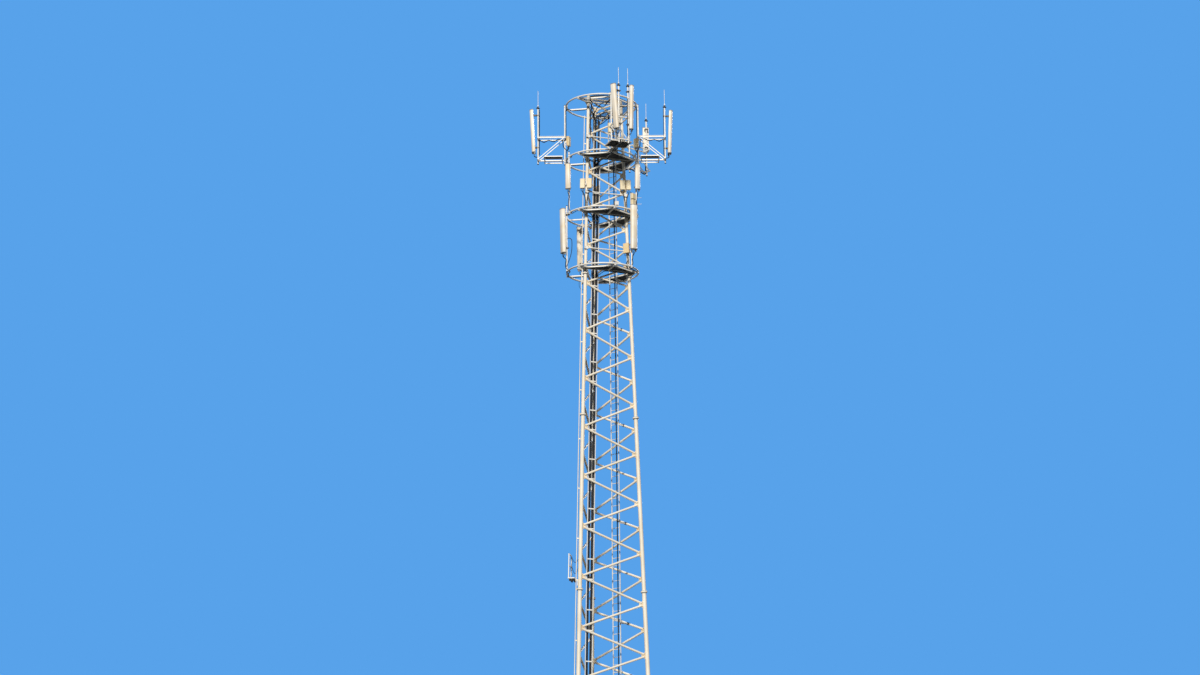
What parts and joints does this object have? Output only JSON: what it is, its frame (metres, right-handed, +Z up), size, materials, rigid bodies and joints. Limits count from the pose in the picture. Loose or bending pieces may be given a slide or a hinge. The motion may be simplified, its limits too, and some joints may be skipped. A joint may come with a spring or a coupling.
{
  "type": "lattice cell tower",
  "caption": "Three-legged tubular lattice cell tower with zigzag bracing, ring platforms, outriggers, panel antennas, feeder run and ladder.",
  "frame": {"origin": "centre of the underside of the left leg's foot flange, at ground level", "axes": "+Z up, +X from the left foot to the right foot, +Y from the front face towards the back leg"},
  "size_m": [5.6906, 5.1955, 35.2103],
  "materials": {
    "painted_steel": "satin cream paint over galvanised tube",
    "galvanised_steel": "pale galvanised and painted steel",
    "deck_grating": "dark weathered grating",
    "dark_rail": "dark anodised",
    "cable_sheath": "matte black polyethylene sheath",
    "radome": "matte warm white glass-fibre radome",
    "radio_housing": "matte tan powder coat"
  },
  "bodies": {
    "root": {"leg_left": "painted_steel", "leg_right": "painted_steel", "leg_back": "painted_steel", "bracing_front": "painted_steel", "bracing_right": "painted_steel", "bracing_left": "painted_steel", "mount_ring_1": "galvanised_steel", "mount_ring_2": "galvanised_steel", "mount_ring_3": "galvanised_steel", "mount_ring_4": "galvanised_steel", "ring_frame_1": "galvanised_steel", "ring_frame_2": "galvanised_steel", "ring_frame_3": "galvanised_steel", "ring_frame_4": "galvanised_steel", "deck_1": "deck_grating", "deck_2": "deck_grating", "deck_3": "deck_grating", "deck_4": "deck_grating", "climbing_ladder": "galvanised_steel", "ladder_brackets": "galvanised_steel", "fall_arrest_rail": "dark_rail", "cable_ladder": "galvanised_steel", "feeder_cables": "cable_sheath", "leg_conduit": "galvanised_steel", "rest_platform": "galvanised_steel", "outrigger_left": "galvanised_steel", "outrigger_right": "galvanised_steel", "outrigger_front": "galvanised_steel", "outrigger_rear": "galvanised_steel", "antenna_pipes": "galvanised_steel", "antenna_left": "radome", "antenna_right": "radome", "antenna_front_west": "radome", "antenna_front_east": "radome", "antenna_rear": "radome", "antenna_small_left": "radome", "antenna_small_right": "radome", "antenna_tall_left": "radome", "antenna_tall_right": "radome", "antenna_tall_rear": "radome", "outrigger_radios": "radio_housing", "leg_radios": "radio_housing", "ring_boxes": "radio_housing", "lightning_rods": "galvanised_steel"}
  },
  "joints": []
}
